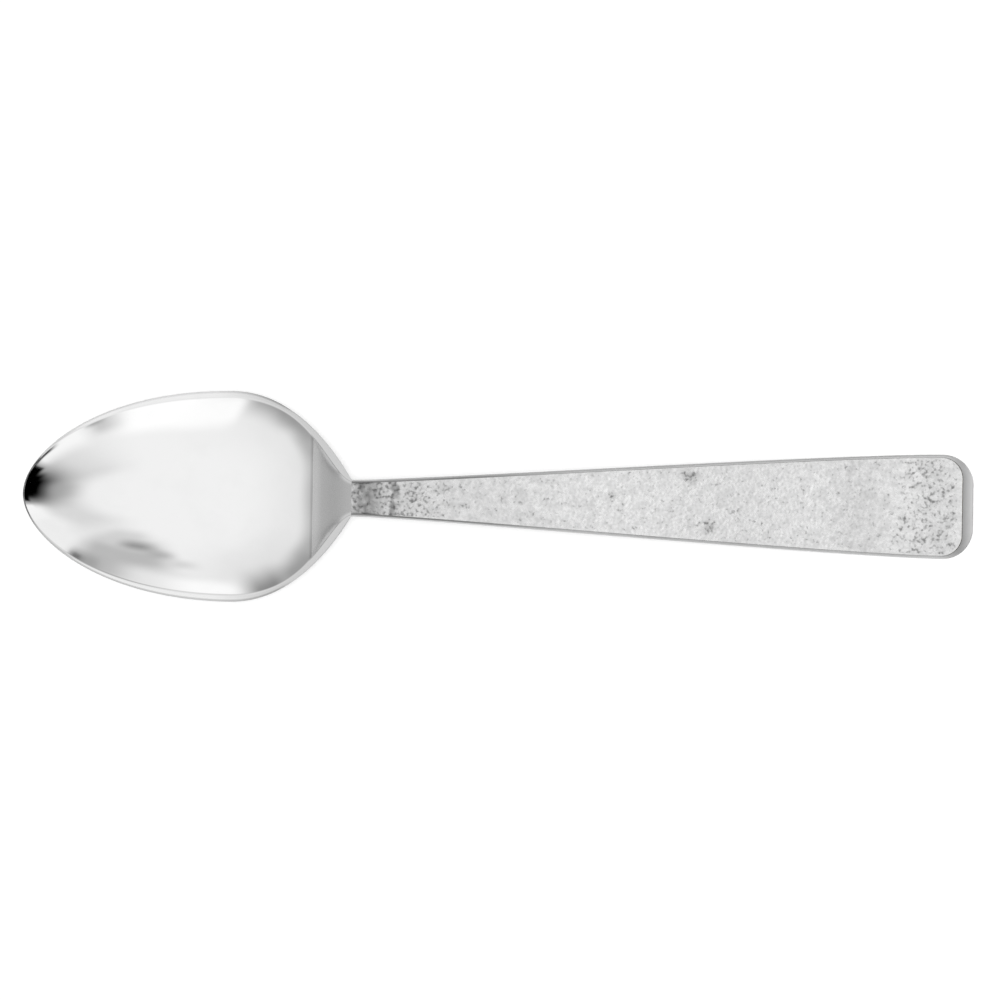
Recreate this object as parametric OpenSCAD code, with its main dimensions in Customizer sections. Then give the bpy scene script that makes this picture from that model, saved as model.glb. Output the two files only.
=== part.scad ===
// Dinner spoon with a mirror-polished bowl and a stippled plate let into a flaring handle.
// X runs from the bowl's tip to the handle's end, Z is up, and the spoon lies on Z = 0.

/* [Overall] */
// Length from the bowl's tip to the handle's end
spoon_length = 200; // [185:1:215]

/* [Bowl outline] */
// Length from the tip to the neck, where the handle starts
bowl_length = 69.1; // [64:0.1:76]
// Width across the bowl's widest place
bowl_width = 44.2; // [38:0.2:50]
// Distance from the tip to the widest place
widest_place = 43.9; // [40:0.1:47]
// Sideways pull of the outline at the tip, larger for a blunter tip
tip_fullness = 8.3; // [6:0.1:12]
// Length of the outline's pull forward from the widest place
front_sweep = 29; // [22:0.5:34]
// Length of the outline's pull backward from the widest place
rear_sweep = 12.5; // [8:0.5:15]
// Lengthwise pull of the outline at the shoulder, forward from the neck
shoulder_back = 4.2; // [3:0.1:7]
// Sideways pull of the outline at the shoulder, outward from the neck
shoulder_out = 7.1; // [4:0.1:10]

/* [Bowl rim] */
// Width of the rim's flat band at the tip
rim_tip = 0.3; // [0.2:0.05:1.2]
// Width of the rim's flat band at the widest place
rim_side = 1.4; // [0.8:0.1:2]
// Width of the rim's flat band at the neck
rim_neck = 0.3; // [0.2:0.05:0.8]
// Thickness of the rim's edge
rim_thickness = 1; // [0.7:0.1:1.5]
// Height that the rim gains from the tip to the neck
rim_rise = 6.8; // [4:0.1:9]
// Length of the rim's level start at the tip
rim_level = 26; // [15:1:32]
// Length of the rim's climb towards the neck
rim_climb = 15; // [8:1:24]
// Height of the rim's outer edge over its inner edge, round the tip
rim_lift = 0.3; // [0:0.05:0.5]
// Distance from the tip to where that height starts to run out
lift_hold = 6; // [4:0.5:9]
// Distance from the tip to where the rim's band is level
lift_end = 16; // [12:0.5:24]

/* [Bowl hollow] */
// Length of the hollow edge's pull backward from the widest place
hollow_sweep = 17; // [12:0.5:18]
// Lengthwise pull of the hollow's edge at the shoulder, forward from the neck
hollow_back = 5.2; // [4:0.1:8]
// Sideways pull of the hollow's edge at the shoulder, outward from the neck
hollow_out = 1.6; // [1:0.1:4]
// Depth of the hollow below the rim
bowl_depth = 8.6; // [6:0.1:12]
// Distance from the tip to the deepest place
deepest_place = 39; // [32:0.5:42]
// Wall at the deepest place
bowl_wall = 1.2; // [0.8:0.1:1.8]
// Length of the hollow's steep start behind the tip
front_run = 5.5; // [3:0.5:9]
// Drop of the hollow's steep start behind the tip
front_drop = 4.2; // [2.5:0.1:6]
// Length of the level floor in front of the deepest place
floor_front = 18; // [10:0.5:24]
// Length of the level floor behind the deepest place
floor_rear = 9; // [5:0.5:12]
// Length of the steep wall in front of the crease
back_run = 7; // [4:0.5:9]
// Drop of the steep wall in front of the crease
back_drop = 4.2; // [2.5:0.1:5.5]
// Fullness of the bowl's cross-section, where 2 is a parabola
bowl_fullness = 2.2; // [1.8:0.1:3]
// Fullness of the bowl's cross-section at the crease
crease_fullness = 2.8; // [2.2:0.1:4]
// Length of the underside's level run behind the deepest place
keel_level = 16; // [12:0.5:19]
// Length of the underside's run into the neck
keel_run = 8; // [4:0.5:11]

/* [Ramp] */
// Length of the flat ramp from the crease to the neck
ramp_length = 8.1; // [5:0.1:11]
// Depth of the hollow at the crease
ramp_depth = 2.2; // [1.2:0.1:3]
// Flatness of the ramp's cross-section, larger for squarer sides
ramp_flatness = 7; // [4:0.5:10]

/* [Handle] */
// Width of the neck
neck_width = 7.7; // [7:0.1:10]
// Width of the handle's end
end_width = 22; // [16:0.2:26]
// Length of the handle's slim start behind the neck
neck_reach = 13; // [5:1:25]
// Length of the handle's flare in front of its corners
flare_reach = 21.5; // [8:0.5:40]
// Radius of the end's corners, seen from above
end_corner = 6.4; // [3:0.1:8]
// Thickness of the handle at the neck
neck_thickness = 3.6; // [3.2:0.1:4.6]
// Thickness of the handle at its end
end_thickness = 2.4; // [1.8:0.1:3]
// Length of the bevel at the end
end_bevel = 2.3; // [1.5:0.1:4]
// Drop of the bevel at the end
end_bevel_drop = 0.5; // [0.3:0.1:1.6]

/* [Handle arch] */
// Climb of the handle at the neck, in degrees
neck_angle = 16; // [8:0.5:22]
// Length of the arch's pull behind the neck
arch_reach = 22; // [16:1:32]
// Length of the arch's level run into the end
tail_reach = 26; // [18:1:40]
// Length of the flat land under the end, on which the handle lies
rest_length = 14; // [9:0.5:20]

/* [Textured panel] */
// Thickness of the plate
panel_thickness = 0.6; // [0.4:0.05:0.8]
// Plain border between the plate and the handle's side
panel_border = 0.6; // [0.4:0.05:1.2]
// Radius of the plate's far corners
panel_corner = 4.4; // [2:0.1:6]
// Gap round the plate in its recess
panel_clearance = 0.05; // [0.03:0.01:0.1]

/* [Joints] */
// Length of the tang inside the handle
tang_length = 18; // [10:0.5:26]
// Width of the tang
tang_width = 4.4; // [3.2:0.1:5]
// Thickness of the tang
tang_thickness = 1; // [0.8:0.05:1.2]
// Metal left between the recess and the tang's slot
tang_roof = 0.6; // [0.4:0.05:0.8]
// Thickness of each layer of braze
braze_gap = 0.1; // [0.06:0.01:0.15]

/* [Fineness] */
// Rows of facets from the tip to the widest place
front_rows = 26; // [12:1:32]
// Rows of facets from the widest place to the crease
rear_rows = 16; // [8:1:20]
// Rows of facets along the ramp
ramp_rows = 8; // [4:1:10]
// Facets across the hollow
across = 24; // [12:2:28]
// Steps along the handle's arch and sides
handle_steps = 48; // [24:1:64]
// Steps along the tang
tang_steps = 6; // [3:1:10]

/* [Hidden] */
// Overrun of a cutting shape past the face that it cuts
cut_over = 1;
// Steps round a quarter turn of a corner
corner_steps = 12;
// Width of the tip's flat, as a share of the first row's
tip_share = 0.4;

// Places along the spoon
tip_x = -spoon_length / 2;
end_x = spoon_length / 2;
neck_x = tip_x + bowl_length;
widest_x = tip_x + widest_place;
deepest_x = tip_x + deepest_place;
crease_x = neck_x - ramp_length;
hollow_x = tip_x + rim_tip;
rest_x = end_x - rest_length;
panel_end_x = end_x - end_bevel;
tang_end_x = neck_x + tang_length;

// Half widths
bowl_half = bowl_width / 2;
hollow_half = bowl_half - rim_side;
neck_half = neck_width / 2;
ramp_half = neck_half - rim_neck;
end_half = end_width / 2;
tang_half = tang_width / 2;

// Depths below the handle's top
recess_depth = panel_thickness + braze_gap;
slot_top_depth = recess_depth + tang_roof;
tang_top_depth = slot_top_depth + braze_gap;
tang_base_depth = tang_top_depth + tang_thickness;
slot_base_depth = tang_base_depth + braze_gap;

// Point of a cubic curve, and the curve's height at a place along X
function curve_point(c, t) =
    pow(1 - t, 3) * c[0] + 3 * t * pow(1 - t, 2) * c[1] + 3 * t * t * (1 - t) * c[2] + pow(t, 3) * c[3];
function curve_share(c, x, low = 0, high = 1, halvings = 30) =
    let (middle = (low + high) / 2)
    halvings == 0 ? middle
    : curve_point(c, middle)[0] < x ? curve_share(c, x, middle, high, halvings - 1)
    : curve_share(c, x, low, middle, halvings - 1);
function curve_height(c, x) = curve_point(c, curve_share(c, x))[1];

// Share of the way from one place to another, held between 0 and 1 and eased at both ends
function way(x, from, to) = max(0, min(1, (x - from) / (to - from)));
function eased(s) = s * s * (3 - 2 * s);
function blend(a, b, s) = a + (b - a) * s;

// Outline of the bowl, and the edge of its hollow, on the +Y side
front_outline = [
    [tip_x, 0],
    [tip_x, tip_fullness],
    [widest_x - front_sweep, bowl_half],
    [widest_x, bowl_half]
];
rear_outline = [
    [widest_x, bowl_half],
    [widest_x + rear_sweep, bowl_half],
    [neck_x - shoulder_back, neck_half + shoulder_out],
    [neck_x, neck_half]
];
front_hollow = [
    [hollow_x, 0],
    [hollow_x, tip_fullness],
    [widest_x - front_sweep, hollow_half],
    [widest_x, hollow_half]
];
rear_hollow = [
    [widest_x, hollow_half],
    [widest_x + hollow_sweep, hollow_half],
    [neck_x - hollow_back, ramp_half + hollow_out],
    [neck_x, ramp_half]
];

// Rim line seen from the side, measured from the neck's top
rim_line = [
    [tip_x, -rim_rise],
    [tip_x + rim_level, -rim_rise],
    [neck_x - rim_climb, -rim_climb * tan(neck_angle)],
    [neck_x, 0]
];
function rim_height(x) = curve_height(rim_line, x);

// Depth of the hollow along the middle, from the tip to the crease, and then up the ramp
front_floor = [
    [hollow_x, 0],
    [hollow_x + front_run, front_drop],
    [deepest_x - floor_front, bowl_depth],
    [deepest_x, bowl_depth]
];
rear_floor = [
    [deepest_x, bowl_depth],
    [deepest_x + floor_rear, bowl_depth],
    [crease_x - back_run, ramp_depth + back_drop],
    [crease_x, ramp_depth]
];
function hollow_depth(x) =
    x < deepest_x ? curve_height(front_floor, x)
    : x < crease_x ? curve_height(rear_floor, x)
    : ramp_depth * (1 - eased(way(x, crease_x, neck_x)));

// Depth of the underside along the middle, which runs past the crease without a break
keel_depth = bowl_depth + bowl_wall;
front_keel = [
    [tip_x, rim_thickness],
    [tip_x + front_run, rim_thickness + front_drop],
    [deepest_x - floor_front, keel_depth],
    [deepest_x, keel_depth]
];
rear_keel = [
    [deepest_x, keel_depth],
    [deepest_x + keel_level, keel_depth],
    [neck_x - keel_run, neck_thickness],
    [neck_x, neck_thickness]
];
function underside_depth(x) = x < deepest_x ? curve_height(front_keel, x) : curve_height(rear_keel, x);

// The cross-section turns from round to flat, and the rim's edge thickens, towards the neck
function section_power(x) =
    x < crease_x ? blend(bowl_fullness, crease_fullness, pow(way(x, deepest_x, crease_x), 3))
    : blend(crease_fullness, ramp_flatness, eased(way(x, crease_x, neck_x)));
function section_share(x, v) = 1 - pow(abs(v), section_power(x));
function edge_at(x) = blend(rim_thickness, neck_thickness, eased(way(x, widest_x, neck_x)));

// Height of the rim's outer edge, lifted round the tip so that the rim there runs on from the hollow
function edge_height(x) =
    rim_height(x) + rim_lift * (1 - eased(way(x, tip_x + lift_hold, tip_x + lift_end)));

// Heights of the bowl's upper and lower faces at share v of the half width, from the neck's top
function inside_height(x, v) = rim_height(x) - hollow_depth(x) * section_share(x, v);
function outside_height(x, v) =
    rim_height(x) - blend(edge_at(x), underside_depth(x), section_share(x, v));

// Rows of the bowl: each is a place on the outline and a place on the hollow's edge
front_shares = [for (i = [1:front_rows]) i / front_rows];
rear_places = [
    for (i = [1:rear_rows]) blend(widest_x, crease_x, i / rear_rows),
    for (i = [1:ramp_rows]) blend(crease_x, neck_x, i / ramp_rows)
];
bowl_rows = [
    for (t = front_shares) [curve_point(front_outline, t), curve_point(front_hollow, t)],
    for (x = rear_places) [[x, curve_height(rear_outline, x)], [x, curve_height(rear_hollow, x)]]
];

// The neck's height above the table, at which the bowl's lowest place touches the table
neck_z = -min([for (row = bowl_rows) outside_height(row[0][0], 0)]);

// Shares across a row, from the +Y side to the -Y side
hollow_shares = [for (j = [0:across]) 1 - 2 * j / across];
row_shares = [for (j = [0:across + 2]) 1 - 2 * j / (across + 2)];

// One closed ring of points for each row: over the top, then back along the underside
function bowl_ring(row) =
    let (edge = row[0], lip = row[1])
    [
        [edge[0], edge[1], neck_z + edge_height(edge[0])],
        for (v = hollow_shares) [lip[0], v * lip[1], neck_z + inside_height(lip[0], v)],
        [edge[0], -edge[1], neck_z + edge_height(edge[0])],
        for (v = row_shares) [edge[0], -v * edge[1], neck_z + outside_height(edge[0], v)]
    ];
// A flat ring across X at one place, between two heights
function flat_ring(x, half, top, base) = [
    for (v = row_shares) [x, v * half, top],
    for (v = row_shares) [x, -v * half, base]
];

// The tip is a narrow flat ring as high as the rim's edge
tip_half = curve_point(front_outline, tip_share / front_rows)[1];
tip_ring = flat_ring(tip_x, tip_half, neck_z + edge_height(tip_x), neck_z - rim_rise - rim_thickness);

// Handle seen from the side: the top is an arch that runs out level above the flat land
arch_z = neck_z + arch_reach * tan(neck_angle);
top_line = [
    [neck_x, neck_z],
    [neck_x + arch_reach, arch_z],
    [rest_x - tail_reach, end_thickness],
    [rest_x, end_thickness]
];
function top_height(x) = x < rest_x ? curve_height(top_line, x) : end_thickness;
function base_height(x) = top_height(x) - blend(neck_thickness, end_thickness, way(x, neck_x, rest_x));

// Handle seen from above: a side that flares into a rounded corner
side_line = [
    [neck_x, neck_half],
    [neck_x + neck_reach, neck_half],
    [end_x - end_corner - flare_reach, end_half],
    [end_x - end_corner, end_half]
];
function side_half(x) = curve_height(side_line, x);

// Stations along the handle and along the tang, which touching faces share
handle_places = [for (i = [0:handle_steps]) blend(neck_x, panel_end_x, i / handle_steps)];
tang_places = [for (i = [0:tang_steps]) blend(neck_x, tang_end_x, i / tang_steps)];
slot_places = concat(tang_places, [tang_end_x + braze_gap]);

tang_rings = [
    for (x = tang_places)
        flat_ring(x, tang_half, top_height(x) - tang_top_depth, top_height(x) - tang_base_depth)
];

// Closed outline from points on the +Y side, mirrored to the -Y side
function mirrored(points) = concat(
    points,
    [for (i = [len(points) - 1:-1:0]) [points[i][0], -points[i][1]]]
);
// Quarter turn of a corner that ends at a place along X, on the +Y side
function corner_arc(far_x, half, radius) = [
    for (i = [0:corner_steps])
        let (turn = 90 * i / corner_steps)
        [far_x - radius + radius * sin(turn), half - radius + radius * cos(turn)]
];

// Plate-like outline seen from above: the handle's side, moved in, up to a rounded far end
module plan(far_x, inset, radius, near_x) {
    side_end = far_x - radius;
    places = [for (i = [0:handle_steps]) blend(near_x, side_end, i / handle_steps)];
    sides = [for (x = places) [x, side_half(x) - inset]];
    corner = corner_arc(far_x, side_half(side_end) - inset, radius);
    polygon(mirrored(concat(sides, [for (i = [1:corner_steps]) corner[i]])));
}

// Layer that follows the handle's top between two depths below it, seen from the side
module layer_profile(places, top_depth, base_depth) {
    last = len(places) - 1;
    polygon(concat(
        [for (x = places) [x, top_height(x) - top_depth]],
        [for (i = [last:-1:0]) [places[i], top_height(places[i]) - base_depth]]
    ));
}

// Raise a side view to a solid that is centred on Y = 0
module across_y(width) {
    rotate([90, 0, 0])
        linear_extrude(height = width, center = true)
            children();
}

// Raise a view from above to a solid that is higher than the whole arch
module upward() {
    linear_extrude(height = arch_z + 2 * cut_over)
        children();
}

// Skin of a row of rings that all have as many points, closed at both ends
module skin(rings) {
    count = len(rings[0]);
    last = len(rings) - 1;
    strip = count / 2;
    walls = [
        for (r = [0:last - 1], k = [0:count - 1])
            let (a = r * count + k, b = r * count + (k + 1) % count)
            each [[a, b, b + count], [a, b + count, a + count]]
    ];
    near_end = [
        for (k = [0:strip - 2])
            each [[k, count - 1 - k, k + 1], [k + 1, count - 1 - k, count - 2 - k]]
    ];
    far_end = [for (f = near_end) [for (k = [2:-1:0]) f[k] + last * count]];
    polyhedron(
        points = [for (ring = rings) each ring],
        faces = concat(walls, near_end, far_end),
        convexity = 6
    );
}

module bowl() {
    color([0.86, 0.87, 0.88])
        skin(concat([tip_ring], [for (row = bowl_rows) bowl_ring(row)], tang_rings));
}

// Side view of the whole handle, with the bevel at its end and the flat land under it
module handle_profile() {
    arch_places = [for (x = handle_places) if (x < rest_x) x];
    last = len(arch_places) - 1;
    polygon(concat(
        [for (x = handle_places) [x, top_height(x)]],
        [[end_x, end_thickness - end_bevel_drop], [end_x, 0], [rest_x, 0]],
        [for (i = [last:-1:0]) [arch_places[i], base_height(arch_places[i])]]
    ));
}

// Room for the plate and its braze, open at the neck and above
module panel_recess() {
    open_places = concat([neck_x - cut_over], handle_places, [panel_end_x + cut_over]);
    intersection() {
        upward()
            plan(panel_end_x, panel_border, panel_corner, neck_x - cut_over);
        across_y(end_width)
            layer_profile(open_places, -cut_over, recess_depth);
    }
}

// Room for the tang and its braze, open at the neck
module tang_slot() {
    across_y(tang_width + 2 * braze_gap)
        layer_profile(concat([neck_x - cut_over], slot_places), slot_top_depth, slot_base_depth);
}

module handle_core() {
    color([0.8, 0.81, 0.82])
        difference() {
            intersection() {
                upward()
                    plan(end_x, 0, end_corner, neck_x);
                across_y(end_width)
                    handle_profile();
            }
            panel_recess();
            tang_slot();
        }
}

// Part of the recess between two depths, smaller than the recess by its clearance
module recess_layer(top_depth, base_depth) {
    intersection() {
        upward()
            plan(panel_end_x - panel_clearance, panel_border + panel_clearance, panel_corner, neck_x);
        across_y(end_width)
            layer_profile(handle_places, top_depth, base_depth);
    }
}

module textured_panel() {
    color([0.87, 0.87, 0.86])
        recess_layer(0, panel_thickness);
}

module tang_braze_sleeve() {
    color([0.82, 0.78, 0.66])
        difference() {
            across_y(tang_width + 2 * braze_gap)
                layer_profile(slot_places, slot_top_depth, slot_base_depth);
            across_y(tang_width)
                layer_profile(tang_places, tang_top_depth, tang_base_depth);
        }
}

module panel_braze_foil() {
    color([0.82, 0.78, 0.66])
        recess_layer(panel_thickness, recess_depth);
}

bowl();
handle_core();
textured_panel();
tang_braze_sleeve();
panel_braze_foil();
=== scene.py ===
import math
from functools import lru_cache

import bmesh
import bpy
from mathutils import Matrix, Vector, noise


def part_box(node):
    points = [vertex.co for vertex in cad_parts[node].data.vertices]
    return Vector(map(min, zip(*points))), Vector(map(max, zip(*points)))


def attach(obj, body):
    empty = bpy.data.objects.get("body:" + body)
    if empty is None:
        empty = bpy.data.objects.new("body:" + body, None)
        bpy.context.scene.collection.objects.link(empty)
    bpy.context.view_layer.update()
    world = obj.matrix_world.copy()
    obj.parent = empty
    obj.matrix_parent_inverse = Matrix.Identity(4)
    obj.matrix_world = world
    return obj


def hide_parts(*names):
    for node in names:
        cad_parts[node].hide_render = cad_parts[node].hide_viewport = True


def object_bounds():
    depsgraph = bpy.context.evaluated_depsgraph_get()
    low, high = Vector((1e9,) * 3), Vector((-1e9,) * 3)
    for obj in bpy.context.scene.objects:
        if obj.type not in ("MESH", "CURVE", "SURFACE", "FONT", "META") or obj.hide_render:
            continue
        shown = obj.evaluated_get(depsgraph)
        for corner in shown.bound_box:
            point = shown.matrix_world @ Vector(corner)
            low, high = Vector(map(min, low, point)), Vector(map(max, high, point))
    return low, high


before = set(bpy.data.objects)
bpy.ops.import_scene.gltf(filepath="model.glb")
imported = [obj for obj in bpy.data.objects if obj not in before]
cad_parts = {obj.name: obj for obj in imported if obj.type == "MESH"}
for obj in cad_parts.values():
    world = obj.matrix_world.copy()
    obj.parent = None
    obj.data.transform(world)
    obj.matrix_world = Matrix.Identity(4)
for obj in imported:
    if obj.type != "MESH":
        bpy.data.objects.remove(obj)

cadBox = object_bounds()  # before anything is replaced
mm = 0.001
weldReach = 5e-8      # only points that lie on each other are merged
cutReach = 1e-8       # points this near to a straight cut lie on it
halvings = 40         # steps of the search for a place on a curve
facingUp = 0.9        # least Z of a normal that looks up
sharpAngle = math.radians(38)
kept = lru_cache(maxsize=None)

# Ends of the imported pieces, which every line below starts from
bowlLow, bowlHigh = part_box("bowl")
coreLow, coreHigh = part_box("handle_core")
tipX, tangEndX = bowlLow.x, bowlHigh.x
neckX, endX = coreLow.x, coreHigh.x
bowlHalf, endHalf = bowlHigh.y, coreHigh.y
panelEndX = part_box("textured_panel")[1].x
print("frame loaded, spoon is", round((endX - tipX) / mm, 1), "mm long")


def blend(a, b, share):
    return a + (b - a) * share


def way(x, start, stop):
    return max(0.0, min(1.0, (x - start) / (stop - start)))


def eased(share):
    return share * share * (3 - 2 * share)


# 1 at the middle, 0 from the reach on
def nearTo(x, middle, reach):
    return 1 - eased(way(abs(x - middle), 0, reach))


def softMax(a, b, reach):
    near = max(reach - abs(a - b), 0.0) / reach
    return max(a, b) + near * near * reach / 4


def curvePoint(curve, t):
    s = 1 - t
    weights = (s ** 3, 3 * t * s * s, 3 * t * t * s, t ** 3)
    return tuple(sum(w * p[k] for w, p in zip(weights, curve)) for k in (0, 1))


def curveTurn(curve, t):
    s = 1 - t
    weights = (3 * s * s, 6 * s * t, 3 * t * t)
    steps = [(b[0] - a[0], b[1] - a[1]) for a, b in zip(curve, curve[1:])]
    return tuple(sum(w * p[k] for w, p in zip(weights, steps)) for k in (0, 1))


def curveShare(curve, x):
    low, high = 0.0, 1.0
    for halving in range(halvings):
        middle = (low + high) / 2
        if curvePoint(curve, middle)[0] < x:
            low = middle
        else:
            high = middle
    return (low + high) / 2


def curveHeight(curve, x):
    return curvePoint(curve, curveShare(curve, x))[1]


# A flat grid whose points go where pointAt(row, column) says, with painted shares per point
def placedGrid(rowCount, columnCount, pointAt, paints):
    bm = bmesh.new()
    bmesh.ops.create_grid(bm, x_segments=rowCount - 1, y_segments=columnCount - 1, size=1)
    layers = [(bm.verts.layers.float.new(name), paintAt) for name, paintAt in paints.items()]
    for vert in bm.verts:
        row = round((vert.co.x + 1) / 2 * (rowCount - 1))
        column = round((vert.co.y + 1) / 2 * (columnCount - 1))
        vert.co = pointAt(row, column)
        for layer, paintAt in layers:
            vert[layer] = paintAt(row, column)
    return bm


# Seams merged, open ends filled, faces turned outwards
def closeSkin(bm):
    bmesh.ops.remove_doubles(bm, verts=bm.verts, dist=weldReach)
    bmesh.ops.holes_fill(bm, edges=bm.edges, sides=0)
    bmesh.ops.recalc_face_normals(bm, faces=bm.faces)


def softenFaces(bm):
    for face in bm.faces:
        face.smooth = True
    for edge in bm.edges:
        edge.smooth = edge.calc_face_angle(0) < sharpAngle


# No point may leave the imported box
def holdInside(bm):
    low, high = cadBox
    for vert in bm.verts:
        vert.co = [max(a, min(b, value)) for value, a, b in zip(vert.co, low, high)]


def addObject(name, bm, material):
    mesh = bpy.data.meshes.new(name)
    bm.to_mesh(mesh)
    bm.free()
    mesh.materials.append(material)
    piece = bpy.data.objects.new(name, mesh)
    bpy.context.scene.collection.objects.link(piece)
    return piece


def addNode(tree, kind, inputs, **settings):
    node = tree.nodes.new("ShaderNode" + kind)
    for key, value in settings.items():
        setattr(node, key, value)
    for key, value in inputs.items():
        if isinstance(value, bpy.types.NodeSocket):
            tree.links.new(value, node.inputs[key])
        else:
            node.inputs[key].default_value = value
    return node


def newSurface(name):
    material = bpy.data.materials.new(name)
    material.use_nodes = True
    tree = material.node_tree
    tree.nodes.clear()
    output = tree.nodes.new("ShaderNodeOutputMaterial")
    return material, tree, output


def newMetal(name):
    material, tree, output = newSurface(name)
    shader = addNode(tree, "BsdfPrincipled", {"Metallic": 1.0})
    tree.links.new(shader.outputs["BSDF"], output.inputs["Surface"])
    return material, tree, shader


# Noise on the piece's own coordinates, with features of the given lengths along X, Y and Z
def grainNoise(tree, lengths, detail):
    place = addNode(tree, "TexCoord", {})
    scale = tuple(1 / length for length in lengths)
    turned = addNode(tree, "Mapping", {"Vector": place.outputs["Object"], "Scale": scale})
    values = {"Vector": turned.outputs["Vector"], "Scale": 1.0, "Detail": detail}
    return addNode(tree, "TexNoise", values).outputs["Fac"]


def rangeOf(tree, value, fromLow, fromHigh, toLow, toHigh):
    limits = {"Value": value, "From Min": fromLow, "From Max": fromHigh, "To Min": toLow, "To Max": toHigh}
    return addNode(tree, "MapRange", limits, interpolation_type="SMOOTHSTEP").outputs["Result"]


def mixValue(tree, share, a, b):
    node = addNode(tree, "Mix", {0: share, 2: a, 3: b}, data_type="FLOAT")
    return node.outputs[0]


def sumOf(tree, a, b):
    return addNode(tree, "Math", {0: a, 1: b}, operation="ADD").outputs["Value"]


def productOf(tree, a, b):
    return addNode(tree, "Math", {0: a, 1: b}, operation="MULTIPLY").outputs["Value"]


def greyOf(tree, value):
    node = addNode(tree, "CombineColor", {"Red": value, "Green": value, "Blue": value})
    return node.outputs["Color"]


def paintedShare(tree, name):
    return addNode(tree, "Attribute", {}, attribute_name=name).outputs["Fac"]


def bumpOf(tree, height, strength, distance):
    node = addNode(tree, "Bump", {"Height": height, "Strength": strength, "Distance": distance})
    return node.outputs["Normal"]


# Shiny steel with clouds of wear and fine polish lines, satin where it is painted so, and darker by the
# painted shade and painted reflections
def makeShinySteel(name, look):
    material, tree, shader = newMetal(name)
    satin = paintedShare(tree, "satin")
    clouds = grainNoise(tree, (look["cloudLength"],) * 3, detail=3.0)
    polish = grainNoise(tree, look["polishLength"], detail=2.0)
    worn = rangeOf(tree, clouds, *look["wornRange"], 0.0, 1.0)
    tone = mixValue(tree, worn, look["steel"], look["steelWorn"])
    # painted shade and painted reflections darken the tone
    tone = productOf(tree, tone, paintedShare(tree, "paintedShade"))
    tree.links.new(greyOf(tree, tone), shader.inputs["Base Color"])
    glossRough = rangeOf(tree, polish, *look["polishRange"], *look["gloss"])
    satinRough = rangeOf(tree, polish, *look["polishRange"], *look["satin"])
    tree.links.new(mixValue(tree, satin, glossRough, satinRough), shader.inputs["Roughness"])
    tree.links.new(bumpOf(tree, polish, look["polishBump"], look["polishHeight"]), shader.inputs["Normal"])
    return material


# Mirror-polished steel of the bowl
def makeMirrorSteel():
    look = {
        "steel": 0.88,
        "steelWorn": 0.86,
        "gloss": (0.04, 0.065),      # roughness, from the smoothest to the dullest lines
        "satin": (0.26, 0.36),
        "cloudLength": 9 * mm,
        "wornRange": (0.45, 0.75),   # part of the noise that is used
        "polishLength": (6 * mm, 0.12 * mm, 0.12 * mm),
        "polishRange": (0.3, 0.8),
        "polishBump": 0.03,
        "polishHeight": 0.002 * mm,
    }
    return makeShinySteel("mirrorSteel", look)


# Polished steel of the handle's bar, with longer lines
def makePolishedSteel():
    look = {
        "steel": 0.86,
        "steelWorn": 0.82,
        "gloss": (0.2, 0.3),
        "satin": (0.5, 0.62),
        "cloudLength": 5 * mm,
        "wornRange": (0.4, 0.75),
        "polishLength": (8 * mm, 0.1 * mm, 0.1 * mm),
        "polishRange": (0.3, 0.8),
        "polishBump": 0.06,
        "polishHeight": 0.002 * mm,
    }
    return makeShinySteel("polishedSteel", look)


# Stippled satin steel: a pale grainy ground with dark flecks, closer together near the neck and the end
def makeStippledSteel():
    look = {
        "ground": 0.95,
        "grain": 0.07,               # swing of the ground's tone
        "grainLength": 0.6 * mm,
        "grainRange": (0.25, 0.75),
        "fleck": 0.34,
        "fleckLength": 0.74 * mm,
        "fleckRange": (0.58, 0.9),
        "mottle": 0.05,              # swing of the flecks' crowding
        "blotch": 0.05,              # swing of the tone in wider blotches
        "mottleLength": 1.7 * mm,
        "mottleRange": (0.3, 0.7),
        "rough": (0.25, 0.35),
        "roughRange": (0.35, 0.7),
        "toothLength": 0.16 * mm,
        "toothBump": 0.3,
        "toothHeight": 0.01 * mm,
    }
    material, tree, shader = newMetal("stippledSteel")
    flecks = grainNoise(tree, (look["fleckLength"],) * 3, detail=1.5)
    grain = grainNoise(tree, (look["grainLength"],) * 3, detail=1.0)
    mottle = grainNoise(tree, (look["mottleLength"],) * 3, detail=2.0)
    tooth = grainNoise(tree, (look["toothLength"],) * 3, detail=2.0)
    raised = sumOf(tree, flecks, paintedShare(tree, "crowd"))
    crowding = rangeOf(tree, mottle, *look["mottleRange"], -look["mottle"], look["mottle"])
    speck = rangeOf(tree, sumOf(tree, raised, crowding), *look["fleckRange"], 0.0, 1.0)
    pale, dull = look["ground"] + look["grain"], look["ground"] - look["grain"]
    tone = rangeOf(tree, grain, *look["grainRange"], pale, dull)
    tone = mixValue(tree, speck, tone, look["fleck"])
    blotch = rangeOf(tree, mottle, *look["mottleRange"], 1 + look["blotch"], 1 - look["blotch"])
    # the painted shade darkens the tone
    tone = productOf(tree, productOf(tree, tone, blotch), paintedShare(tree, "paintedShade"))
    tree.links.new(greyOf(tree, tone), shader.inputs["Base Color"])
    rough = rangeOf(tree, mottle, *look["roughRange"], *look["rough"])
    tree.links.new(rough, shader.inputs["Roughness"])
    tree.links.new(bumpOf(tree, tooth, look["toothBump"], look["toothHeight"]), shader.inputs["Normal"])
    return material


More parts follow.
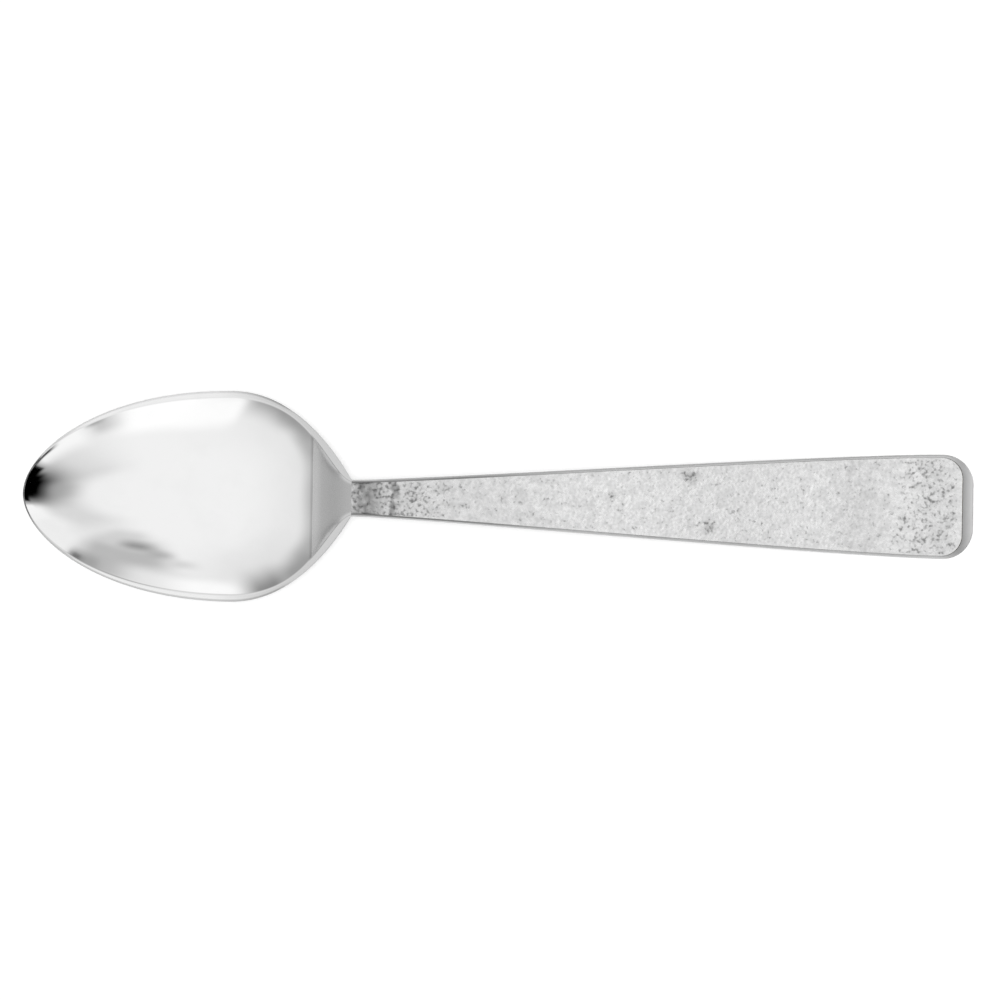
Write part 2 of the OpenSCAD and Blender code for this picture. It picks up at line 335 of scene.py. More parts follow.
# Pale silver braze, dull and mottled
def makeBraze():
    look = {
        "pale": (0.82, 0.78, 0.66, 1),
        "dull": (0.66, 0.6, 0.47, 1),
        "rough": (0.38, 0.6),
        "mottleLength": 1.1 * mm,
        "mottleRange": (0.35, 0.7),
        "grainLength": 0.2 * mm,
        "grainBump": 0.3,
        "grainHeight": 0.01 * mm,
    }
    material, tree, shader = newMetal("paleBraze")
    mottle = grainNoise(tree, (look["mottleLength"],) * 3, detail=4.0)
    grain = grainNoise(tree, (look["grainLength"],) * 3, detail=2.0)
    dull = rangeOf(tree, mottle, *look["mottleRange"], 0.0, 1.0)
    tone = addNode(tree, "Mix", {0: dull, 6: look["pale"], 7: look["dull"]}, data_type="RGBA")
    tree.links.new(tone.outputs[2], shader.inputs["Base Color"])
    tree.links.new(mixValue(tree, dull, *look["rough"]), shader.inputs["Roughness"])
    tree.links.new(bumpOf(tree, grain, look["grainBump"], look["grainHeight"]), shader.inputs["Normal"])
    return material


mirrorSteel = makeMirrorSteel()
polishedSteel = makePolishedSteel()
stippledSteel = makeStippledSteel()
paleBraze = makeBraze()
print("materials made")

# Bowl: sizes of its lines, then the painted shade and painted reflections on its edge, lip, rim, crease and
# ramp
bowl = {
    "widest": 43.9 * mm,         # from the tip to the widest place
    "tipFullness": 8.3 * mm,
    "frontSweep": 29 * mm,
    "rearSweep": 12.5 * mm,
    "shoulderBack": 4.2 * mm,
    "shoulderOut": 7.1 * mm,
    "rimTip": 0.3 * mm,          # rim's width at the tip, the sides and the neck
    "rimSide": 1.4 * mm,
    "rimNeck": 0.3 * mm,
    "hollowSweep": 17 * mm,
    "hollowBack": 5.2 * mm,
    "hollowOut": 1.6 * mm,
    "rimThickness": 1 * mm,
    "rimLift": 0.3 * mm,         # rise of the rim's outer edge round the tip
    "liftHold": 6 * mm,
    "liftEnd": 16 * mm,
    "rimRise": 6.8 * mm,         # neck's height over the tip's rim
    "rimLevel": 26 * mm,
    "rimClimb": 15 * mm,
    "depth": 8.6 * mm,
    "deepest": 39 * mm,
    "wall": 1.2 * mm,
    "frontRun": 5.5 * mm,
    "frontDrop": 4.2 * mm,
    "floorFront": 18 * mm,
    "floorRear": 9 * mm,
    "backRun": 7 * mm,
    "backDrop": 4.2 * mm,
    "fullness": 2.2,             # power of the cross-section: in front, at the crease, on the ramp
    "creaseFullness": 2.8,
    "flatness": 7,
    "keelLevel": 16 * mm,
    "keelRun": 8 * mm,
    "rampLength": 8.1 * mm,
    "rampDepth": 2.2 * mm,
    "neckHalf": 3.85 * mm,
    "neckAngle": 16,             # degrees
    "neckThickness": 3.6 * mm,
    "lipRound": 0.2 * mm,        # softness of the rim's inner edge
    "lipSharper": 0.9,           # share of that softness that is gone round the tip
    "lipSlope": 0.85,
    "creaseRound": 0.08 * mm,    # softness of the crease before the ramp
    "edgeRound": 0.3 * mm,       # radius of the rim's outer edges, and its largest share of the rim
    "edgeShare": 0.4,
    "tangHalf": 2.2 * mm,
    "tangTop": 1.4 * mm,         # tang's faces below the handle's top
    "tangBase": 2.4 * mm,
    "neckSquare": 2 * mm,        # last stretch, which turns square to the neck's end face
    "frontRows": 130,
    "rearRows": 44,
    "rampRows": 24,
    "creaseRows": 6,
    "tangRows": 6,
    "across": 92,
    "underAcross": 60,
    "rimSteps": 6,
    "rimCrowding": 1.6,          # steps lie closer together beside the lip
    "roundSteps": 5,
    "edgeTones": (0.66, 0.83),   # painted reflections on the rim's outer edge, as shares of the steel's own tone, on the -Y and +Y sides
    "edgeToneTip": 0.42,
    "edgeToneRear": 0.46,
    "edgeLine": (0.36 * mm, 0.5 * mm),       # full up to, none from, inwards from the edge
    "edgeRunOut": (-7.5 * mm, -3.5 * mm),    # where the edge's line runs out, off the crease
    "tipFade": (1 * mm, 5 * mm),             # tip's tone full up to, none from
    "rearFade": (-5 * mm, 10 * mm),          # rear tones none up to, full from, off the widest place
    # Painted reflection: a darker line along the lip
    "lipTone": 0.78,
    "lipShares": (0.8, 0.3),                 # strength of the lip's line in front, on the -Y and +Y sides
    "lipLineIn": (0.1 * mm, 0.32 * mm),      # its width into the hollow and out on the rim
    "lipLineOut": (0.05 * mm, 0.25 * mm),
    # Painted shade on the rim, darker at the rear
    "rimTone": 0.97,
    "rimToneRear": 0.69,
    # Painted shade on the satin ramp, lighter towards its sides
    "rampStart": 0.58,
    "rampTone": 0.5,
    "rampFade": (0.5 * mm, 2 * mm),
    "rampSide": 0.72,
    "rampSideFrom": (0.72, 0.96),            # shares of the ramp's half width
    "creaseTone": 0.72,                      # painted shade as a dark line along the crease, and its width
    "creaseLine": (0.21 * mm, 0.7 * mm),
    "tangTone": 0.85,
    "satinStart": 0.1 * mm,                  # the satin ramp starts this far before the crease
    "satin": {"rim": 0.2, "upper": 1.0, "lower": 1.0, "under": 0.1},
}

widestX = tipX + bowl["widest"]
deepestX = tipX + bowl["deepest"]
hollowX = tipX + bowl["rimTip"]
creaseX = neckX - bowl["rampLength"]
hollowHalf = bowlHalf - bowl["rimSide"]
rampHalf = bowl["neckHalf"] - bowl["rimNeck"]
keelDepth = bowl["depth"] + bowl["wall"]
neckSlope = math.tan(math.radians(bowl["neckAngle"]))

frontOutline = [
    (tipX, 0),
    (tipX, bowl["tipFullness"]),
    (widestX - bowl["frontSweep"], bowlHalf),
    (widestX, bowlHalf),
]
rearOutline = [
    (widestX, bowlHalf),
    (widestX + bowl["rearSweep"], bowlHalf),
    (neckX - bowl["shoulderBack"], bowl["neckHalf"] + bowl["shoulderOut"]),
    (neckX, bowl["neckHalf"]),
]
frontHollow = [
    (hollowX, 0),
    (hollowX, bowl["tipFullness"]),
    (widestX - bowl["frontSweep"], hollowHalf),
    (widestX, hollowHalf),
]
rearHollow = [
    (widestX, hollowHalf),
    (widestX + bowl["hollowSweep"], hollowHalf),
    (neckX - bowl["hollowBack"], rampHalf + bowl["hollowOut"]),
    (neckX, rampHalf),
]
rimLine = [
    (tipX, -bowl["rimRise"]),
    (tipX + bowl["rimLevel"], -bowl["rimRise"]),
    (neckX - bowl["rimClimb"], -bowl["rimClimb"] * neckSlope),
    (neckX, 0),
]
frontFloor = [
    (hollowX, 0),
    (hollowX + bowl["frontRun"], bowl["frontDrop"]),
    (deepestX - bowl["floorFront"], bowl["depth"]),
    (deepestX, bowl["depth"]),
]
rearFloor = [
    (deepestX, bowl["depth"]),
    (deepestX + bowl["floorRear"], bowl["depth"]),
    (creaseX - bowl["backRun"], bowl["rampDepth"] + bowl["backDrop"]),
    (creaseX, bowl["rampDepth"]),
]
frontKeel = [
    (tipX, bowl["rimThickness"]),
    (tipX + bowl["frontRun"], bowl["rimThickness"] + bowl["frontDrop"]),
    (deepestX - bowl["floorFront"], keelDepth),
    (deepestX, keelDepth),
]
rearKeel = [
    (deepestX, keelDepth),
    (deepestX + bowl["keelLevel"], keelDepth),
    (neckX - bowl["keelRun"], bowl["neckThickness"]),
    (neckX, bowl["neckThickness"]),
]


@kept
def outlineHalf(x):
    return curveHeight(frontOutline if x < widestX else rearOutline, x)


@kept
def rimHeight(x):
    return curveHeight(rimLine, max(x, tipX))


def liftShare(x):
    return 1 - eased(way(x, tipX + bowl["liftHold"], tipX + bowl["liftEnd"]))


def lipRound(x):
    return bowl["lipRound"] * (1 - bowl["lipSharper"] * liftShare(x))


# Depth of the hollow on the middle line, with a softened crease before the ramp
@kept
def hollowDepth(x):
    if x < deepestX:
        return curveHeight(frontFloor, x)
    creaseSlope = bowl["backDrop"] / bowl["backRun"]
    floor = curveHeight(rearFloor, x) if x < creaseX else bowl["rampDepth"] - creaseSlope * (x - creaseX)
    ramp = bowl["rampDepth"] * (1 - eased(way(x, creaseX, neckX)))
    return softMax(floor, ramp, bowl["creaseRound"])


@kept
def keelAt(x):
    return curveHeight(frontKeel if x < deepestX else rearKeel, max(x, tipX))


@kept
def sectionPower(x):
    if x < creaseX:
        return blend(bowl["fullness"], bowl["creaseFullness"], way(x, deepestX, creaseX) ** 3)
    return blend(bowl["creaseFullness"], bowl["flatness"], eased(way(x, creaseX, neckX)))


def edgeAt(x):
    return blend(bowl["rimThickness"], bowl["neckThickness"], eased(way(x, widestX, neckX)))


def underHeight(x, y):
    half = outlineHalf(x)
    v = min(1.0, abs(y) / half) if half > weldReach else 0.0
    return rimHeight(x) - blend(edgeAt(x), keelAt(x), 1 - v ** sectionPower(x))


lowSteps = 400  # places on the keel where its lowest point is looked for
neckZ = -min(underHeight(blend(tipX, neckX, i / lowSteps), 0) for i in range(1, lowSteps + 1))

# Handle: sizes of its lines, then the painted reflections on its edges and its end band, and painted shade on
# its border and in its recess
handle = {
    "archReach": 22 * mm,
    "tailReach": 26 * mm,
    "restLength": 14 * mm,       # flat land under the end
    "endThickness": 2.4 * mm,
    "neckReach": 13 * mm,
    "flareReach": 21.5 * mm,
    "endCorner": 6.4 * mm,
    "endDrop": 0.5 * mm,         # fall of the polished band at the end
    "bandStart": 8 * mm,         # from the end to where the border starts to fall
    "border": 0.6 * mm,          # plain strip beside the plate
    "recessDepth": 0.7 * mm,
    "recessCorner": 4.4 * mm,
    "clearance": 0.05 * mm,
    "edgeRound": 0.28 * mm,
    "edgeLine": 0.36 * mm,       # where the dark border starts
    "overrun": 2 * mm,
    "stations": 72,
    "cornerSteps": 24,
    "roundSteps": 4,
    "slotHalf": 2.3 * mm,
    "slotTop": 1.3 * mm,
    "slotBase": 2.5 * mm,
    "slotEnd": 18.1 * mm,
    "slotStations": 7,
    "roundTones": (0.8, 0.62),   # painted reflections on the rounded edges, as shares of the steel's own tone, on the -Y and +Y sides
    # Near the neck: painted reflections on the rounded edges and painted shade on the border; then the
    # border's painted shade on each side
    "roundToneNeck": 0.74,
    "borderToneNeck": 0.35,
    "borderTones": (0.72, 0.82),
    "borderSwing": 0.1,
    "borderStretch": 13 * mm,
    "swingApart": 3,             # keeps the swing of the two sides unlike
    "neckStretch": (5 * mm, 10 * mm),
    "borderFade": (20 * mm, 52 * mm),
    "underFade": (0.2 * mm, 0.3 * mm),       # where the painted reflection on the underside's rounded edge ends
    "bandTones": (0.68, 0.97),   # painted reflections on the inner and outer side of the end band
    "bandFull": 3 * mm,
    # Painted shade in the recess under the plate and in the slot
    "recessTone": 0.5,
    "satinBelow": 0.9,           # underside tones darker than this are satin too
}
restX = endX - handle["restLength"]
recessEndX = panelEndX + handle["clearance"]

topLine = [
    (neckX, neckZ),
    (neckX + handle["archReach"], neckZ + handle["archReach"] * neckSlope),
    (restX - handle["tailReach"], handle["endThickness"]),
    (restX, handle["endThickness"]),
]
sideLine = [
    (neckX, bowl["neckHalf"]),
    (neckX + handle["neckReach"], bowl["neckHalf"]),
    (endX - handle["endCorner"] - handle["flareReach"], endHalf),
    (endX - handle["endCorner"], endHalf),
]


@kept
def topHeight(x):
    return curveHeight(topLine, x) if x < restX else handle["endThickness"]


def baseHeight(x):
    return topHeight(x) - blend(bowl["neckThickness"], handle["endThickness"], way(x, neckX, restX))


@kept
def sideHalf(x):
    return curveHeight(sideLine, x) if x < endX - handle["endCorner"] else endHalf


# Rows of the bowl from the tip to the neck: edge of the outline, way out of it, edge of the hollow
def bowlRows():
    rows = []
    for i in range(bowl["frontRows"] + 1):
        t = i / bowl["frontRows"]
        dx, dy = curveTurn(frontOutline, t)
        out = Vector((-dy, dx)).normalized()
        rows.append((curvePoint(frontOutline, t), out, curvePoint(frontHollow, t)))
    places = [blend(widestX, creaseX, i / bowl["rearRows"]) for i in range(1, bowl["rearRows"])]
    places += [blend(creaseX, neckX, i / bowl["rampRows"]) for i in range(1, bowl["rampRows"] + 1)]
    reach = bowl["creaseRound"] * bowl["backRun"] / bowl["backDrop"]
    count = bowl["creaseRows"]
    places += [creaseX + reach * i / count for i in range(-count, count + 1)]
    for x in sorted(places):
        dx, dy = curveTurn(rearOutline, curveShare(rearOutline, x))
        straight = eased(way(x, neckX - bowl["neckSquare"], neckX))
        out = Vector((-dy, dx)).normalized().lerp(Vector((0, 1)), straight).normalized()
        rows.append(((x, curveHeight(rearOutline, x)), out, (x, curveHeight(rearHollow, x))))
    return rows


# Stops round the bowl's section: hollow, rim, rounded edge, underside, and back by the other edge
def bowlLoop():
    rim = [("rim", (i / bowl["rimSteps"]) ** bowl["rimCrowding"]) for i in range(1, bowl["rimSteps"])]
    upper = [("upper", 90 - 90 * i / bowl["roundSteps"]) for i in range(bowl["roundSteps"] + 1)]
    lower = [("lower", 90 * i / bowl["roundSteps"]) for i in range(bowl["roundSteps"])]
    side = rim + upper + lower
    hollow = [("hollow", -1 + 2 * i / bowl["across"], 1) for i in range(bowl["across"] + 1)]
    under = [("under", 1 - 2 * i / bowl["underAcross"], 1) for i in range(bowl["underAcross"] + 1)]
    loop = hollow + [(kind, value, 1) for kind, value in side] + under
    loop += [(kind, value, -1) for kind, value in reversed(side)]
    return loop + loop[:1]


# Closer together towards the sides, where the wall is steep
def crowdedOut(v):
    return v * (1.5 - 0.5 * v * v)


# Width of the rim and radius of its outer edges on one row
def rimBand(row):
    edge, out, lip = row
    band = math.hypot(edge[0] - lip[0], edge[1] - lip[1])
    return band, min(bowl["edgeRound"], bowl["edgeShare"] * band)


def bowlPoint(row, stop):
    edge, out, lip = row
    kind, value, side = stop
    band, radius = rimBand(row)
    lift = bowl["rimLift"] * liftShare(edge[0])
    soft = lipRound(edge[0])
    edgeX, edgeY = edge
    if kind == "hollow":
        v = crowdedOut(value)
        drop = hollowDepth(lip[0]) * (1 - abs(v) ** sectionPower(lip[0]))
        return lip[0], v * lip[1], neckZ + rimHeight(lip[0]) - softMax(drop, 0, soft)
    if kind == "rim":
        x = blend(lip[0], edgeX - out.x * radius, value)
        y = blend(lip[1], edgeY - out.y * radius, value)
        gone = math.hypot(x - lip[0], y - lip[1])
        rise = lift * gone / band - softMax(-bowl["lipSlope"] * gone, 0, soft)
        return x, side * y, neckZ + rimHeight(x) + rise
    if kind == "under":
        x, y = edgeX - out.x * radius, edgeY - out.y * radius
        return x, crowdedOut(value) * y, neckZ + underHeight(x, crowdedOut(value) * y)
    turn = math.radians(value)
    inset = radius * (1 - math.cos(turn))
    fall = radius * (1 - math.sin(turn))
    x, y = edgeX - out.x * inset, edgeY - out.y * inset
    if kind == "upper":
        return x, side * y, neckZ + rimHeight(x) + lift * (1 - inset / band) - fall
    return x, side * y, neckZ + underHeight(x, y) + fall


# Painted shade inside the hollow: a painted reflection line along the lip, a painted shade line along the
# crease and painted shade on the dull ramp
def hollowPaintedShade(lip, across, lipTone):
    line = 1 - eased(way((1 - abs(across)) * lip[1], *bowl["lipLineIn"]))
    if lip[0] > creaseX:
        ground = blend(bowl["rampStart"], bowl["rampTone"], eased(way(lip[0] - creaseX, *bowl["rampFade"])))
        ground = blend(ground, bowl["rampSide"], eased(way(abs(across), *bowl["rampSideFrom"])))
    else:
        crease = 1 - eased(way(creaseX - lip[0], *bowl["creaseLine"]))
        ground = blend(1, bowl["creaseTone"], crease)
    return ground * blend(1, lipTone, line)


# Painted shade and painted reflections of the bowl at one stop, as a share of the steel's tone
def bowlPaintedShade(row, stop):
    edge, out, lip = row
    kind, value, side = stop
    across = crowdedOut(value) * side
    rear = eased(way(edge[0] - widestX, *bowl["rearFade"]))
    lipTone = blend(1, bowl["lipTone"], max(rear, bowl["lipShares"][across >= 0]))
    if kind == "hollow":
        return hollowPaintedShade(lip, across, lipTone)
    rimTone = blend(bowl["rimTone"], bowl["rimToneRear"], rear)
    edgeTone = blend(bowl["edgeTones"][side > 0], bowl["edgeToneRear"], rear)
    edgeTone = blend(bowl["edgeToneTip"], edgeTone, eased(way(edge[0] - tipX, *bowl["tipFade"])))
    edgeTone = blend(edgeTone, rimTone, eased(way(edge[0] - creaseX, *bowl["edgeRunOut"])))
    if kind == "rim":
        band, radius = rimBand(row)
        gone = value * (band - radius)
        line = 1 - eased(way(gone, *bowl["lipLineOut"]))
        isEdge = 1 - eased(way(band - gone, *bowl["edgeLine"]))
        return blend(blend(rimTone, lipTone, line), edgeTone, isEdge)
    if kind == "upper":
        return edgeTone
    return blend(edgeTone, 1, value / 90) if kind == "lower" else 1.0


def bowlSatin(row, stop):
    edge, out, lip = row
    if stop[0] == "hollow":
        return 1.0 if lip[0] > creaseX - bowl["satinStart"] else 0.0
    return bowl["satin"][stop[0]]


# The tang's section has the same stops, on a flat bar
def tangPoint(x, stop):
    kind, value, side = stop
    isTop = kind in ("hollow", "rim", "upper")
    z = topHeight(x) - bowl["tangTop" if isTop else "tangBase"]
    across = crowdedOut(value) if kind in ("hollow", "under") else side
    return x, across * bowl["tangHalf"], z


def buildBowl():
    rows = bowlRows()
    loop = bowlLoop()
    tangRows = [blend(neckX, tangEndX, i / bowl["tangRows"]) for i in range(bowl["tangRows"] + 1)]

    def pointAt(row, column):
        if row < len(rows):
            return bowlPoint(rows[row], loop[column])
        return tangPoint(tangRows[row - len(rows)], loop[column])

    def paintedShadeAt(row, column):
        return bowlPaintedShade(rows[row], loop[column]) if row < len(rows) else bowl["tangTone"]

    def satinAt(row, column):
        return bowlSatin(rows[row], loop[column]) if row < len(rows) else 1.0

    # Painted shade and painted reflections, and where the steel is satin
    paints = {"paintedShade": paintedShadeAt, "satin": satinAt}
    bm = placedGrid(len(rows) + len(tangRows), len(loop), pointAt, paints)
    holdInside(bm)
    closeSkin(bm)
    softenFaces(bm)
    return addObject("bowl_shell", bm, mirrorSteel)


bowlShell = buildBowl()
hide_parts("bowl")
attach(bowlShell, "root")
print("bowl made,", len(bowlShell.data.polygons), "faces")


# Cut a mesh square across X at one place
def cutAcross(bm, x, clearNear=False):
    parts = bm.verts[:] + bm.edges[:] + bm.faces[:]
    bmesh.ops.bisect_plane(
        bm, geom=parts, dist=cutReach, plane_co=(x, 0, 0), plane_no=(1, 0, 0), clear_inner=clearNear
    )


# Flat slab of the bar: rounded corners and edges, loops beside the edge, and the recess for the plate
def buildFlatBar():
    thickness = bowl["neckThickness"]
    bm = bmesh.new()
    bmesh.ops.create_grid(bm, x_segments=1, y_segments=1, size=1)
    for vert in bm.verts:
        x = endX if vert.co.x > 0 else neckX - handle["overrun"]
        vert.co = (x, math.copysign(endHalf, vert.co.y), 0)
    corners = [vert for vert in bm.verts if vert.co.x > neckX]
    bmesh.ops.bevel(
        bm, geom=corners, offset=handle["endCorner"], offset_type="OFFSET",
        segments=handle["cornerSteps"], profile=0.5, affect="VERTICES", material=-1,
    )
    grown = bmesh.ops.extrude_face_region(bm, geom=bm.faces[:])
    lowered = [part for part in grown["geom"] if isinstance(part, bmesh.types.BMVert)]
    bmesh.ops.translate(bm, verts=lowered, vec=(0, 0, -thickness))
    bmesh.ops.recalc_face_normals(bm, faces=bm.faces)
    rims = [edge for edge in bm.edges if abs(edge.verts[0].co.z - edge.verts[1].co.z) < weldReach]
    bmesh.ops.bevel(
        bm, geom=rims, offset=handle["edgeRound"], offset_type="OFFSET",
        segments=handle["roundSteps"], profile=0.5, affect="EDGES", material=-1,
    )
    top = max(bm.faces, key=lambda face: face.calc_area() * (face.normal.z > facingUp))
    places = [handle["edgeRound"], handle["edgeLine"], handle["border"]]
    for near, far in zip(places, places[1:]):
        bmesh.ops.inset_region(bm, faces=[top], thickness=far - near, use_even_offset=True, use_boundary=True)
    moveRecessEnd(top)
    sunk = bmesh.ops.extrude_discrete_faces(bm, faces=[top])["faces"][0]
    bmesh.ops.translate(bm, verts=sunk.verts[:], vec=(0, 0, -handle["recessDepth"]))
    cutAcross(bm, neckX, clearNear=True)
    bmesh.ops.holes_fill(bm, edges=bm.edges, sides=0)
    for i in range(1, handle["stations"]):
        cutAcross(bm, blend(neckX, endX - handle["endCorner"], i / handle["stations"]))
    return bm


# The recess ends short of the handle's end, on smaller corners
def moveRecessEnd(face):
    oldRadius = handle["endCorner"] - handle["border"]
    oldX, oldY = endX - handle["endCorner"], endHalf - handle["endCorner"]
    newX = recessEndX - handle["recessCorner"]
    newY = endHalf - handle["border"] - handle["recessCorner"]
    share = handle["recessCorner"] / oldRadius
    for vert in face.verts:
        if vert.co.x > oldX - weldReach:
            side = math.copysign(1, vert.co.y)
            vert.co.x = newX + (vert.co.x - oldX) * share
            vert.co.y = side * (newY + (abs(vert.co.y) - oldY) * share)


# Plan distance from the flat bar's outline
def edgeGap(x, y):
    cornerX, cornerY = endX - handle["endCorner"], endHalf - handle["endCorner"]
    if x <= cornerX:
        return endHalf - y
    if y <= cornerY:
        return endX - x
    return handle["endCorner"] - math.hypot(x - cornerX, y - cornerY)


def recessEdge(x, y):
    recessHalf = endHalf - handle["border"]
    cornerX = recessEndX - handle["recessCorner"]
    cornerY = recessHalf - handle["recessCorner"]
    reach = handle["clearance"] / 2
    if x <= cornerX:
        return y < recessHalf + reach
    if y <= cornerY:
        return x < recessEndX + reach
    return math.hypot(x - cornerX, y - cornerY) < handle["recessCorner"] + reach


# Painted shade on the border: its tone swings along the handle and is darkest behind the neck
def borderTone(x, y):
    swing = noise.noise(Vector((x / handle["borderStretch"], math.copysign(handle["swingApart"], y), 0)))
    fade = eased(way(x - neckX, *handle["borderFade"]))
    tone = blend(handle["borderToneNeck"], handle["borderTones"][y > 0], fade)
    return tone + handle["borderSwing"] * swing


# Painted shade and painted reflections of the flat bar at one point, as a share of the steel's tone
def barPaintedShade(x, y, isTop, isFloor):
    if isFloor:
        return handle["recessTone"]
    gap = edgeGap(x, abs(y))
    if not isTop:
        return blend(handle["roundToneNeck"], 1, eased(way(gap, *handle["underFade"])))
    offNeck = eased(way(x - neckX, *handle["neckStretch"]))
    rounding = blend(handle["roundToneNeck"], handle["roundTones"][y > 0], offNeck)
    inside = eased(way(gap, handle["edgeRound"] + weldReach, handle["edgeLine"]))
    tone = blend(rounding, borderTone(x, y), inside)
    band = eased(way(x, endX - handle["endCorner"], endX - handle["bandFull"]))
    bandTone = blend(*handle["bandTones"], way(x, recessEndX, endX - handle["edgeLine"]))
    return blend(tone, bandTone, band)


# Take the flat bar to the handle's flare and arch, and paint its shade and reflections
def bendBar(bm):
    thickness = bowl["neckThickness"]
    paintedShade = bm.verts.layers.float.new("paintedShade")
    satin = bm.verts.layers.float.new("satin")
    for vert in bm.verts:
        x, y, z = vert.co
        isTop = z > -thickness / 2
        isFloor = isTop and z < -handle["recessDepth"] + weldReach
        inRecess = isFloor or (isTop and recessEdge(x, abs(y)))
        vert[paintedShade] = barPaintedShade(x, y, isTop, isFloor)
        vert[satin] = 1.0 if isTop or vert[paintedShade] < handle["satinBelow"] else 0.0
        fall = 0.0 if inRecess else handle["endDrop"] * eased(way(x, endX - handle["bandStart"], endX))
        height = topHeight(x) + z - fall if isTop else baseHeight(x) + z + thickness
        side = math.copysign(endHalf - sideHalf(x), y)
        vert.co = (x, y - side, height)


# Slot for the tang, as a bent bar that is cut out of the neck's end
def buildSlot():
    bm = bmesh.new()
    bmesh.ops.create_cube(bm, size=2)
    paintedShade = bm.verts.layers.float.new("paintedShade")
    satin = bm.verts.layers.float.new("satin")
    slotEndX = neckX + handle["slotEnd"]
    for vert in bm.verts:
        x = slotEndX if vert.co.x > 0 else neckX - handle["overrun"]
        vert.co = (x, vert.co.y * handle["slotHalf"], vert.co.z)
    for i in range(handle["slotStations"]):
        cutAcross(bm, blend(neckX, slotEndX, i / handle["slotStations"]))
    for vert in bm.verts:
        depth = handle["slotTop"] if vert.co.z > 0 else handle["slotBase"]
        vert.co.z = topHeight(max(vert.co.x, neckX)) - depth
        # painted shade inside the slot
        vert[paintedShade] = handle["recessTone"]
        vert[satin] = 1.0
    return addObject("slot_cutter", bm, polishedSteel)


def cutOut(piece, cutter):
    tool = piece.modifiers.new("slot", "BOOLEAN")
    tool.operation = "DIFFERENCE"
    tool.solver = "EXACT"
    tool.object = cutter
    graph = bpy.context.evaluated_depsgraph_get()
    piece.data = bpy.data.meshes.new_from_object(piece.evaluated_get(graph))
    piece.modifiers.clear()
    bpy.data.objects.remove(cutter)


def buildHandleBar():
    bm = buildFlatBar()
    bendBar(bm)
    holdInside(bm)
    bmesh.ops.recalc_face_normals(bm, faces=bm.faces)
    softenFaces(bm)
    bar = addObject("handle_bar", bm, polishedSteel)
    cutOut(bar, buildSlot())
    return bar


handleBar = buildHandleBar()
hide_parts("handle_core")
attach(handleBar, "root")
print("handle bar made,", len(handleBar.data.polygons), "faces")

# Stippled plate: its top is a fine grid with pressed pits
plate = {
    "thickness": 0.6 * mm,
    "corner": 4.4 * mm,
    "endGap": 0.1 * mm,
    "rows": 640,
    "cornerRows": 26,
    "across": 96,
    "pitLength": 0.62 * mm,
    "finePitLength": 0.3 * mm,
    "pitDepth": 0.025 * mm,
    "pitMean": 0.5,              # share of the depth, and how far the two sizes of pits swing it
    "pitSwing": 0.62,
    "finePitSwing": 0.34,
    "margin": 0.45 * mm,         # smooth strip along the sides, at the neck and at the end
    "neckMargin": 0.08 * mm,
    "endMargin": 1.3 * mm,
    "marginStretch": (9 * mm, 20 * mm),      # the neck's margin up to, the sides' margin from
    "marginClean": 0.3,          # flecks taken off the margins
    "sideBare": 0.4,             # shares of the margins that are wholly smooth
    "endBare": 0.6,
    "crowdNeck": (0.15, 12 * mm, 26 * mm),   # flecks: share, full up to, none from, off the neck
    "crowdEnd": (0.11, 18 * mm, 9 * mm),     # share, from, full from, off the end
    # Shade on the plate off the neck: share, middle, reach
    "neckShades": [(0.33, 3 * mm, 3.9 * mm), (0.08, 5.9 * mm, 2.2 * mm), (0.33, 8.9 * mm, 1.2 * mm)],
    "neckFades": [(0.28, 16 * mm, 66 * mm), (0.07, 9 * mm, 17 * mm)],  # share, full up to, none from
    "endShade": (0.07, 5 * mm, 7 * mm),      # share, middle off the end, reach
    "endFade": (0.19, 34 * mm, 20 * mm),     # share, from, full from, off the end
    "shadeWave": 1.1 * mm,                   # how far the neck's shades wander, over what length
    "waveLength": 1.2 * mm,
    "shadePatches": 0.4,                     # how much they come and go, over what length
    "patchLength": 0.9 * mm,
    # Shade along the sides: share, reach, and full up to, none from, off the neck
    "sideShade": (0.2, 0.5 * mm, 3.5 * mm, 7 * mm),
    "spots": [                               # darker spots with more flecks
        {"x": 39.9 * mm, "y": 5.6 * mm, "reach": 2.7 * mm, "shade": 0.28, "flecks": 0.2},
        {"x": 44.1 * mm, "y": -4.9 * mm, "reach": 2.2 * mm, "shade": 0.3, "flecks": 0.2},
        {"x": 23.7 * mm, "y": 1.1 * mm, "reach": 1.7 * mm, "shade": 0.14, "flecks": 0.12},
    ],
}
plateInset = handle["border"] + handle["clearance"]
plateEndX = panelEndX - plate["endGap"]
plateCornerX = plateEndX - plate["corner"]


def plateHalf(x):
    if x <= plateCornerX:
        return sideHalf(x) - plateInset
    return endHalf - plateInset - plate["corner"] + math.sqrt(
        max(0.0, plate["corner"] ** 2 - (x - plateCornerX) ** 2))


# Share of the texture at one point: none on the smooth margins
def textureShare(x, y, half):
    offNeck = eased(way(x - neckX, *plate["marginStretch"]))
    margin = blend(plate["neckMargin"], plate["margin"], offNeck)
    side = eased(way(half - abs(y), plate["sideBare"] * margin, margin))
    return side * eased(way(plateEndX - x, plate["endBare"] * plate["endMargin"], plate["endMargin"]))


# Darkening or flecks that the spots give one point
def spotSum(x, y, what):
    return sum(
        spot[what] * nearTo(math.hypot(x - spot["x"], y - spot["y"]), 0, spot["reach"])
        for spot in plate["spots"]
    )


# Noise on the plate's plan, unlike on each layer
def planNoise(x, y, layer, length):
    return noise.noise(Vector((x, y, layer)) / length)


def pitShare(x, y):
    coarse = planNoise(x, y, 0, plate["pitLength"])
    fine = planNoise(x, y, 1, plate["finePitLength"])
    return max(0.0, min(1.0, plate["pitMean"] + plate["pitSwing"] * coarse + plate["finePitSwing"] * fine))
